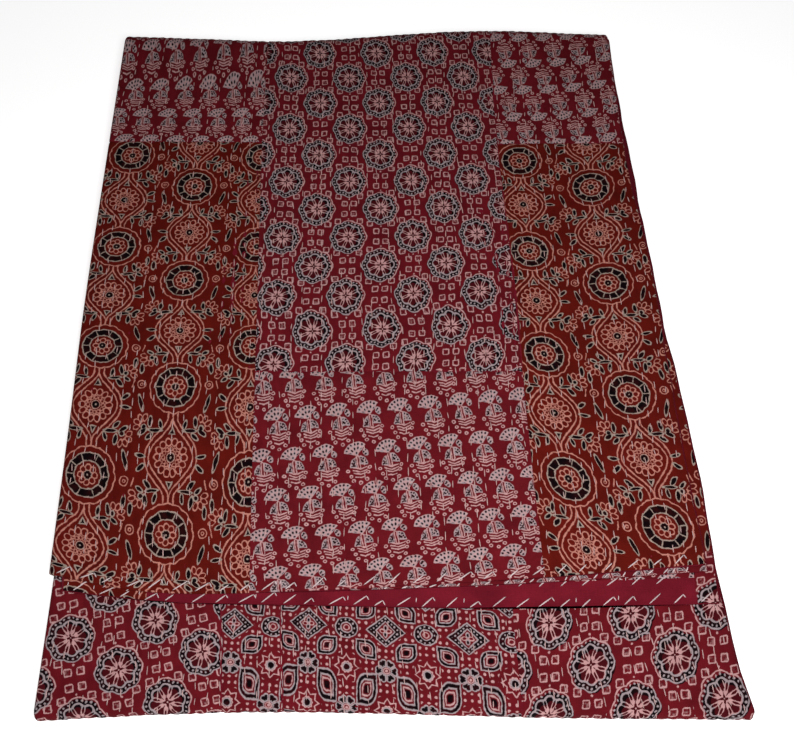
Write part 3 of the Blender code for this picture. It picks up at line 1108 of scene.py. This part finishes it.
# The patches: how the print is laid, the edges, and which sides are sewn seams. The left and right edges
# are across the quilt, and the start and end are along it.
Patch = namedtuple("Patch", "laid left right start end sewn")
PATCHES = {
    "medallion_patch_left": Patch(
        "medallions_left", LEFT_SIDE, Edge(175, 172), HEM, Edge(481, 479), "right far"
    ),
    "posy_patch_centre": Patch(
        "posies_centre", Edge(175, 174), Edge(430.5, 431), HEM, Edge(202.5, 191.3), "left right far"
    ),
    "medallion_patch_right": Patch(
        "medallions_right", Edge(430.5, 433), RIGHT_SIDE, HEM, Edge(464, 466), "left far"
    ),
    "posy_patch_back_left": Patch(
        "posies_left", LEFT_SIDE, Edge(172, 169), Edge(481, 479), UNDER, "right near"
    ),
    "rosette_patch_centre": Patch(
        "rosettes_centre", Edge(174, 169), Edge(431, 433), Edge(202.5, 191.3), UNDER, "left right near"
    ),
    "posy_patch_back_right": Patch(
        "posies_right", straight(433), RIGHT_SIDE, Edge(464, 466), UNDER, "left near"
    ),
    "rosette_patch_front_left": Patch(
        "rosettes_left", LEFT_SIDE, Edge(151, 145), STRIP_START, STRIP_STOP, "right"
    ),
    "tile_patch_front_left": Patch(
        "tiles_left", Edge(151, 145), Edge(199, 196), STRIP_START, STRIP_STOP, "left right"
    ),
    "tile_patch_front": Patch(
        "tiles_centre", Edge(199, 196), Edge(388, 396), STRIP_START, STRIP_STOP, "left right"
    ),
    "rosette_patch_front_right": Patch(
        "rosettes_right", Edge(388, 396), RIGHT_SIDE, STRIP_START, STRIP_STOP, "left"
    ),
    "rosette_patch_side_under": Patch(
        "rosettes_right", straight(RIGHT - 40), RIGHT_SIDE, STRIP_STOP, straight(FRONT_END - 90), ""
    ),
    "posy_patch_under_left": Patch(
        "posies_left", LEFT_SIDE, straight(169), UNDER, UNDER_SEAM, "right far"
    ),
    "rosette_patch_under": Patch(
        "rosettes_centre", straight(169), straight(433), UNDER, UNDER_SEAM, "left right far"
    ),
    "posy_patch_under_right": Patch(
        "posies_right", straight(433), RIGHT_SIDE, UNDER, UNDER_SEAM, "left far"
    ),
    "rosette_patch_under_left": Patch(
        "rosettes_left", LEFT_SIDE, straight(151), UNDER_SEAM, STRIP_START, "right near"
    ),
    "tile_patch_under_left": Patch(
        "tiles_left", straight(151), straight(199), UNDER_SEAM, STRIP_START, "left right near"
    ),
    "tile_patch_under": Patch(
        "tiles_centre", straight(199), straight(388), UNDER_SEAM, STRIP_START, "left right near"
    ),
    "rosette_patch_under_right": Patch(
        "rosettes_right", straight(388), RIGHT_SIDE, UNDER_SEAM, STRIP_START, "left near"
    ),
}

# Places in one stitch row's pitch that get a column of points, and steps along the cloth and round the
# two folds at its sides
ROW_COLUMNS = (0.0, 0.12, 0.3, 0.5, 0.7, 0.88)
COARSE_COLUMNS = (0.0, 0.25, 0.5, 0.75)
FINE_STEP = 3.6
COARSE_STEP = 9.0
LEFT_FOLD_STEP = 1.7
RIGHT_FOLD_STEP = 1.0

# A sewn edge: how wide its rim is, how deep the rim lies, and how far off the next column is
RIM = 1.7
RIM_DEPTH = 0.08
SEAM_CLEAR = 2.6

# How the cloth turns down round the hem's end: forward of the hem line, and below the face
HEM_TURN = ((0.9, -1.55), (0.85, -0.8), (0.45, -0.2))


def at(edge, share):
    """A place between an edge's near and far ends."""
    return edge.near + (edge.far - edge.near) * share


def rim(edge, side):
    """The rim beside a sewn edge, on the side of the patch."""
    return Edge(edge.near + side * RIM, edge.far + side * RIM)


def patch_columns(patch, marks):
    """Columns of a patch, each an edge and how deep it is sewn down."""
    left, right = patch.left, patch.right
    columns = []
    if left.near < LEFT:
        columns += [(straight(place), 0.0) for place in spread(left.near, LEFT, LEFT_FOLD_STEP)[:-1]]
        low = LEFT - 0.01
    else:
        columns += [(left, SEAM_DEPTH), (rim(left, 1), RIM_DEPTH)]
        low = max(left) + SEAM_CLEAR
    high = min(right) - SEAM_CLEAR if right.near < RIGHT else RIGHT + 0.01
    for row in range(STITCH_ROWS + 1):
        for mark in marks:
            place = LEFT + (row + mark) * ROW_PITCH
            if low <= place <= high:
                columns.append((straight(place), 0.0))
    if right.near > RIGHT:
        columns += [(straight(place), 0.0) for place in spread(RIGHT, right.near, RIGHT_FOLD_STEP)[1:]]
    else:
        columns += [(rim(right, -1), RIM_DEPTH), (right, SEAM_DEPTH)]
    return columns


def patch_rows(patch, step):
    """Rows of a patch, each an edge, how deep it is sewn down, and how far forward it is drawn."""
    start, end = patch.start, patch.end
    rows = []
    if start == HEM:
        rows += [(HEM, -lift, ahead) for ahead, lift in HEM_TURN]
    if "near" in patch.sewn:
        rows += [(start, SEAM_DEPTH, 0.0), (rim(start, 1), RIM_DEPTH, 0.0)]
    else:
        rows.append((start, 0.0, 0.0))
    for place in spread(max(start) + step * 0.7, min(end) - step * 0.7, step):
        rows.append((straight(place), 0.0, 0.0))
    if "far" in patch.sewn:
        rows += [(rim(end, -1), RIM_DEPTH, 0.0), (end, SEAM_DEPTH, 0.0)]
    else:
        rows.append((end, 0.0, 0.0))
    return rows


def print_place(laid, across, along):
    """Where a place of the cloth is in its print, in metres, from one of the print's motifs."""
    x, y = across - laid.across, along - laid.along
    bent = min(y, TOP_END - laid.along) if laid.along < TOP_END else max(y, LOWEST_END - laid.along)
    terms = (1, x, y, x * x / 100, x * bent / 100, bent * bent / 100, bent**3 / 10000)
    aside = sum(number * term for number, term in zip(laid.aside, terms))
    ahead = sum(number * term for number, term in zip(laid.ahead, terms))
    if laid.bend:
        start, end, more_aside, more_ahead = laid.bend
        drawn = ease((along - start) / (end - start))
        aside += more_aside * drawn
        ahead += more_ahead * drawn
    return aside * MM, ahead * MM


def lay_patch(name, patch, material, settings, fine):
    """One printed patch, sewn down at its seams and turned round the folds and the hem. A fine one has
    more points, to show how the stitches pull it in."""
    columns = patch_columns(patch, ROW_COLUMNS if fine else COARSE_COLUMNS)
    rows = patch_rows(patch, FINE_STEP if fine else COARSE_STEP)
    first, last = rows[0][0].near, rows[-1][0].near
    left, right = columns[0][0].near, columns[-1][0].near

    def cloth(column, row):
        share_along = min(max((row[0].near - first) / (last - first), 0.0), 1.0)
        across = at(column[0], share_along)
        share_across = min(max((across - left) / (right - left), 0.0), 1.0)
        return across, at(row[0], share_across)

    def point(column, row):
        across, along = cloth(column, row)
        sunk = max(column[1], row[1])
        puff = 0.0
        if LEFT <= across <= RIGHT:
            calm = ease(min(across - LEFT, RIGHT - across) / 6)
            puff = quilting(across, along, settings) * calm
        return lay(around(across), along, puff - sunk, row[2])

    laid = LAID[patch.laid]
    mesh = grid_mesh(columns, rows, point, lambda column, row: print_place(laid, *cloth(column, row)))
    piece = finish_piece(mesh, name, material)


# Patches on the second layer's upper side, which is ply 4's, where they show past the top layer. Each has
# the print of the layer that it seems to carry on: that layer's line over it, how far along the line is,
# and how large the second layer looks beside it. Their edges are across, and back from the second hem.
Shown = namedtuple("Shown", "laid line along scale left right near far")
SECOND_PATCHES = {
    "medallion_patch_second_left": Shown("medallions_left", TOP_LAYER[0], 0.0, 0.988, LEFT, 77, 0.6, 46),
    "rosette_patch_second_right": Shown(
        "rosettes_right", FRONT_LAYER[1], FRONT_FOLD_END + 82, 1.012, RIGHT - 17, RIGHT + 1.4, 0.6, 44
    ),
    "posy_patch_second": Shown("posies_centre", TOP_LAYER[0], 10.0, 0.988, 290, RIGHT - 17, 22, 44),
    "medallion_patch_second_right": Shown(
        "medallions_right", TOP_LAYER[0], 0.0, 0.988, RIGHT - 60, RIGHT + 1.4, 44, 330
    ),
}


def lay_second_patch(name, patch, material):
    """One printed patch on the second layer's upper side."""

    def cloth(across, back):
        here = station(PATH_END - back)
        row = min(across / PLY_WIDTH * STITCH_ROWS, STITCH_ROWS)
        x = patch.scale * (here.left + (here.right - here.left) * across / PLY_WIDTH)
        y = patch.scale * curve(PLACES, here.y, row)
        share = (x - patch.line.left) / (patch.line.right - patch.line.left)
        along = patch.along + y - curve(PLACES, patch.line.y, row)
        return print_place(LAID[patch.laid], share * PLY_WIDTH, along)

    columns, rows = spread(patch.left, patch.right, 4), spread(patch.near, patch.far, 5)
    mesh = grid_mesh(columns, rows, lambda across, back: second_hem(across, back, 0.22), cloth)
    piece = finish_piece(mesh, name, material)


# The third ply of the top layer comes forward of the top hem: its printed face, where its patch starts
# across the quilt, and how much of the print lies between the hem and the ply's own edge
THIRD_PLY = Spot(0.0, PLY[3] + HALF, 0.0, 1.0)
THIRD_PLY_LEFT = 262.0
THIRD_PLY_SHOWN = 14.0


def third_ply(across, forward, lift):
    """A place on the third ply in front of the top hem: forward is 0 at the hem and 1 at its own edge."""
    step = TOP_HEM[1].left + (TOP_HEM[1].right - TOP_HEM[1].left) * across / PLY_WIDTH
    return lay(THIRD_PLY._replace(across=across), 0.0, lift, forward * step)


# ---- Operators ----


# Steps between the points of the whole cloth: along it where it lies flat, along it round a fold, and
# across it
BODY_FLAT_STEP = 14.0
BODY_FOLD_STEP = 4.0
BODY_ACROSS_STEP = 26.0


class OBJECT_OT_quilt_body(Operator):
    """The whole folded cloth, plain crimson where no patch shows"""

    bl_idname = "object.quilt_body"
    bl_label = "Folded cloth"

    def execute(self, context):
        dyes = context.scene.quilt_dyes
        loop = body_section()
        columns = range(len(loop))
        rows = []
        for leg, end in zip(PATH, ENDS):
            step = BODY_FLAT_STEP if isinstance(leg, Flat) else BODY_FOLD_STEP
            rows += spread(end - leg.length, end, step)[1 if rows else 0 :]

        def point(column, row):
            hem = TOP_HEM if row == 0 else SECOND_HEM if row == rows[-1] else None
            return lay(loop[column][0], row, 0.0, 0.0, hem)

        def cloth(column, row):
            return loop[column][1] * MM, row * MM

        material = plain_cotton("plain_crimson_cotton", dyes.band)
        mesh = grid_mesh(columns, rows, point, cloth)
        bmesh.ops.remove_doubles(mesh, verts=mesh.verts, dist=0.001 * MM)
        bmesh.ops.holes_fill(mesh, edges=mesh.edges)
        bmesh.ops.recalc_face_normals(mesh, faces=mesh.faces)
        piece = finish_piece(mesh, "quilt_cloth", material)
        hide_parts(NODE)
        return {"FINISHED"}


def body_section():
    """The closed section of the strip: out along its printed side and back along the other, with the
    place across the open cloth for each point. Ply 1's printed side is sunk under its patches."""

    def side(face):
        sunk = PATCH_DEPTH if face > 0 else 0.0
        points = []

        def run(height, start, end):
            for across in spread(start, end, BODY_ACROSS_STEP):
                points.append(Spot(across, height, 0.0, 0.0))

        def turn(centre, middle, radius, start, end, steps):
            for count in range(1, steps):
                angle = math.radians(start + (end - start) * count / steps)
                points.append(arc(centre, middle, radius, angle))

        run(PLY[3] + face * HALF, RIGHT + HEM_PAST_FOLD[3], LEFT)
        turn(LEFT, (PLY[3] + PLY[2]) / 2, SMALL - face * HALF, 270, 90, 6)
        run(PLY[2] - face * HALF, LEFT, RIGHT)
        turn(RIGHT, (PLY[2] + PLY[1]) / 2, SMALL + face * HALF - sunk * 0.6, -90, 90, 6)
        run(PLY[1] + face * HALF - sunk, RIGHT, LEFT)
        turn(LEFT, (PLY[1] + PLY[4]) / 2, LARGE + face * HALF - sunk, 90, 270, 8)
        run(PLY[4] - face * HALF, LEFT, RIGHT + HEM_PAST_FOLD[4])
        return points

    loop = side(1) + side(-1)[::-1]
    total, measured = 0.0, []
    for count, point in enumerate(loop):
        if count:
            before = loop[count - 1]
            total += math.hypot(point.across - before.across, point.up - before.up)
        measured.append((point, total))
    return measured + [(loop[0], total)]


class OBJECT_OT_quilt_patches(Operator):
    """The patches of block-printed cotton, sewn edge to edge"""

    bl_idname = "object.quilt_patches"
    bl_label = "Printed patches"

    def execute(self, context):
        cloths = {key: block_print(kind, context.scene.quilt_dyes) for key, kind in PRINTS.items()}
        for name, patch in PATCHES.items():
            fine = "under" not in name
            lay_patch(name, patch, cloths[LAID[patch.laid].print], context.scene.quilt_stitching, fine)
        for name, patch in SECOND_PATCHES.items():
            lay_second_patch(name, patch, cloths[LAID[patch.laid].print])
        mesh = grid_mesh(
            spread(THIRD_PLY_LEFT, RIGHT + 3, 5),
            spread(0.0, 0.97, 0.5),
            lambda across, forward: third_ply(across, forward, 0.2),
            lambda across, forward: (across * MM, (1 - forward) * THIRD_PLY_SHOWN * MM),
        )
        finish_piece(mesh, "posy_patch_third_ply", cloths["posies"])
        return {"FINISHED"}


# How far above the cloth the point is that a stitch's upper side looks to
STITCH_ABOVE = 9.0

# A stitch's height as a share of its width
STITCH_FLAT = 0.42

# How much stitches differ: least and greatest shares of their length and of the step to the next, and
# the slants of the overcast stitch in degrees
RUNNING_LENGTHS = (0.75, 1.15)
OVERCAST_LENGTHS = (0.62, 1.12)
OVERCAST_STEPS = (0.86, 1.14)
OVERCAST_SLANTS = (28, 40)

# What share of the overcast stitches has a short leg back, and has a short stitch before it
LEG_SHARE = 0.45
EXTRA_SHARE = 0.3


def sew(mesh, start, end, above, width):
    """One stitch of thread between two points, in metres, half sunk in the cloth. A point above it says
    which way its upper side looks."""
    run = end - start
    ahead = run.normalized()
    side = (above - (start + end) / 2).cross(ahead).normalized()
    up = ahead.cross(side)
    axes = (side * width / 2, up * width * STITCH_FLAT, ahead * run.length / 2)
    matrix = Matrix(axes).transposed().to_4x4()
    matrix.translation = (start + end) / 2
    bmesh.ops.create_uvsphere(mesh, u_segments=6, v_segments=4, radius=1.0, matrix=matrix)


def surface(across, along, settings, lift):
    """A point this far above the puffed cloth."""
    puff = quilting(across, along, settings) if LEFT <= across <= RIGHT else 0.0
    return lay(around(across), along, puff + lift)


def running_stitches(mesh, start, end, share, settings, chance):
    """Rows of running stitch along the quilt. A share of them shows; the rest has sunk in."""
    for row in range(STITCH_ROWS):
        strand = bmesh.new()
        bold = noise.noise(Vector((row * 1.37, 4.2, 7.0)))
        width = settings.thread_width * (1 + 0.5 * bold) * MM
        across = LEFT + (row + 0.5) * ROW_PITCH
        first = math.ceil((start - row_slide(row)) / settings.stitch_step)
        last = math.floor((end - row_slide(row)) / settings.stitch_step)
        for number in range(first, last + 1):
            middle = row_slide(row) + number * settings.stitch_step
            stray = noise.noise(Vector((row * 0.61, middle / 55, 2.0)))
            length = settings.stitch_length * chance.uniform(*RUNNING_LENGTHS) / 2
            low, high = middle - length, middle + length
            lean = chance.uniform(-0.5, 0.5)
            if stray + 0.5 * bold < 0.5 - share or low < start or high > end:
                continue
            sew(
                strand,
                surface(across - lean, low, settings, 0.1),
                surface(across + lean, high, settings, 0.1),
                surface(across, middle, settings, STITCH_ABOVE),
                width,
            )
        data = bpy.data.meshes.new("strand")
        strand.to_mesh(data)
        strand.free()
        mesh.from_mesh(data)
        bpy.data.meshes.remove(data)


def top_hem(across, back, lift):
    """A place on the top hem, this far back from its edge."""
    return lay(around(across), back, lift)


def second_hem(across, back, lift):
    """A place on the second layer's hem, whose upper face is ply 4's."""
    return lay(around(LEFT + UNDER_LEFT - across), PATH_END - back, lift)


def overcast(mesh, place, start, end, settings, chance):
    """Slanted stitches over a hem's edge, some with a short leg back or a short stitch before them."""
    width = settings.hem_thread_width * MM
    across = start
    while across < end:
        length = settings.overcast_length * chance.uniform(*OVERCAST_LENGTHS)
        slant = math.radians(chance.uniform(*OVERCAST_SLANTS))
        reach, back = length * math.cos(slant), length * math.sin(slant)
        foot = chance.uniform(0.2, 1.4)
        sew(
            mesh,
            place(across, foot, 0.25),
            place(across + reach, foot + back, 0.15),
            place(across + reach / 2, foot + back / 2, STITCH_ABOVE),
            width,
        )
        if chance.random() < LEG_SHARE:
            sew(
                mesh,
                place(across + reach - 0.6, foot + back, 0.1),
                place(across + reach + 1.6, foot + back - chance.uniform(3.0, 4.5), 0.1),
                place(across + reach, foot + back - 2.0, STITCH_ABOVE),
                width * 0.8,
            )
        if chance.random() < EXTRA_SHARE:
            sew(
                mesh,
                place(across - 4.5, foot + 4.0, 0.1),
                place(across - 4.0, foot + 8.0, 0.1),
                place(across - 4.2, foot + 6.0, STITCH_ABOVE),
                width * 0.7,
            )
        across += settings.overcast_step * chance.uniform(*OVERCAST_STEPS)


# Where the rows of running stitch start and end along the cloth, and what share of them shows
RUNNING = {
    "running_stitches_top": (6.0, BACK_END, 0.62),
    "running_stitches_front": (STRIP_START.near, STRIP_STOP.near, 0.62),
    "running_stitches_under": (UNDER.near, STRIP_START.near, 0.5),
}

# Overcast stitches on the second hem: how far back from its edge, and where they start and end across
SECOND_OVERCAST = ((0, LEFT + 8, RIGHT - 12), (6, LEFT + 14, 90), (17, 340, RIGHT - 30))
STITCH_SEED = 11


class OBJECT_OT_quilt_stitches(Operator):
    """Rows of running stitch, and overcast stitch along the hems"""

    bl_idname = "object.quilt_stitches"
    bl_label = "Stitches"

    def execute(self, context):
        settings = context.scene.quilt_stitching
        dyes = context.scene.quilt_dyes
        running = spun_thread("rose_cotton_thread", dyes.running_thread)
        pale = spun_thread("pale_cotton_thread", dyes.thread)
        chance = random.Random(STITCH_SEED)
        for name, (start, end, share) in RUNNING.items():
            mesh = bmesh.new()
            running_stitches(mesh, start, end, share, settings, chance)
            finish_thread(mesh, name, running)
        mesh = bmesh.new()
        overcast(mesh, top_hem, LEFT + 3, RIGHT - 12, settings, chance)
        for across in spread(THIRD_PLY_LEFT + 30, RIGHT - 12, 12.5):
            across += chance.uniform(-4, 4)
            length = chance.uniform(2.0, 7.0)
            ends = [third_ply(across + length * share, 0.9 - 0.7 * share, 0.3) for share in (0.0, 1.0)]
            above = (ends[0] + ends[1]) / 2 + Vector((0, 0, STITCH_ABOVE * MM))
            sew(mesh, *ends, above, settings.hem_thread_width * MM)
        finish_thread(mesh, "hem_stitches_top", pale)
        mesh = bmesh.new()
        for inset, start, end in SECOND_OVERCAST:

            def place(across, back, lift):
                return second_hem(across, back + inset, lift)

            overcast(mesh, place, start, end, settings, chance)
        finish_thread(mesh, "hem_stitches_second", pale)
        return {"FINISHED"}


def finish_thread(mesh, name, material):
    """A piece from a mesh of stitches."""
    for face in mesh.faces:
        face.smooth = True
    return finish_piece(mesh, name, material)


# The paper under the quilt and the lights, in metres
PAPER_HALF = 3.0
PAPER_COLOUR = (0.93, 0.93, 0.93, 1)
PAPER_GLOW = 0.7
WHITE = (1.0, 1.0, 1.0, 1)
STUDIO_GLOW = 0.05
LAMP_SIZE = 0.3
LAMP_PLACE = Vector((0.1, -0.5, 0.86))
LAMP_AIM = Vector((0.0, -0.1, 0.0))


class OBJECT_OT_quilt_stage(Operator):
    """A pale floor, soft studio light and the camera"""

    bl_idname = "object.quilt_stage"
    bl_label = "Floor, lights and camera"

    def execute(self, context):
        stage = context.scene.quilt_stage
        mesh = bmesh.new()
        bmesh.ops.create_grid(mesh, x_segments=1, y_segments=1, size=PAPER_HALF)
        paper, _, shader = new_material("white_paper_backdrop", 0.9)
        shader.inputs["Base Color"].default_value = PAPER_COLOUR
        shader.inputs["Emission Color"].default_value = WHITE
        shader.inputs["Emission Strength"].default_value = PAPER_GLOW
        put_in_scene("floor", to_data(mesh, "floor", paper))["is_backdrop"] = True

        world = bpy.data.worlds.new("pale_studio")
        world.use_nodes = True
        background = world.node_tree.nodes["Background"]
        background.inputs["Color"].default_value = WHITE
        background.inputs["Strength"].default_value = STUDIO_GLOW
        context.scene.world = world

        lamp = bpy.data.lights.new("soft_flash", "AREA")
        lamp.size = LAMP_SIZE
        lamp.energy = stage.light
        holder = put_in_scene("soft_flash", lamp)
        holder.location = LAMP_PLACE
        holder.rotation_euler = (LAMP_AIM - LAMP_PLACE).to_track_quat("-Z", "Y").to_euler()

        lens = bpy.data.cameras.new("camera")
        lens.lens = stage.lens
        lens.sensor_width = 36.0
        lens.dof.use_dof = False
        lens.clip_start = 0.01
        camera = put_in_scene("camera", lens)
        camera.location = (-FOOT.x * MM, -FOOT.y * MM, stage.eye_height * MM)
        camera.rotation_euler = (stage.tilt, 0.0, stage.heading)
        context.scene.camera = camera
        context.scene.view_settings.view_transform = "Standard"
        return {"FINISHED"}


class VIEW3D_PT_quilt(Panel):
    """Sizes, colours and steps of the quilt"""

    bl_idname = "VIEW3D_PT_quilt"
    bl_label = "Folded quilt"
    bl_space_type = "VIEW_3D"
    bl_region_type = "UI"
    bl_category = "Quilt"

    def draw(self, context):
        layout = self.layout
        for name in SETTINGS:
            box = layout.box()
            settings = getattr(context.scene, name)
            for key in settings.bl_rna.properties.keys():
                if key not in ("rna_type", "name"):
                    box.prop(settings, key)
        for operator in OPERATORS:
            layout.operator(operator.bl_idname)


SETTINGS = {"quilt_dyes": QuiltDyes, "quilt_stitching": QuiltStitching, "quilt_stage": QuiltStage}
OPERATORS = (
    OBJECT_OT_quilt_stage,
    OBJECT_OT_quilt_body,
    OBJECT_OT_quilt_patches,
    OBJECT_OT_quilt_stitches,
)
CLASSES = (*SETTINGS.values(), *OPERATORS, VIEW3D_PT_quilt)


def register():
    for cls in CLASSES:
        bpy.utils.register_class(cls)
    for name, group in SETTINGS.items():
        setattr(bpy.types.Scene, name, PointerProperty(type=group))


def unregister():
    for name in SETTINGS:
        delattr(bpy.types.Scene, name)
    for cls in reversed(CLASSES):
        bpy.utils.unregister_class(cls)


def main():
    """Build everything."""
    register()
    for operator in OPERATORS:
        group, name = operator.bl_idname.split(".")
        getattr(getattr(bpy.ops, group), name)()
    boxes = {"cad": CAD_BOX, "visual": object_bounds()}
    boxes = {name: [list(corner) for corner in box] for name, box in boxes.items()}


if __name__ == "__main__":
    main()
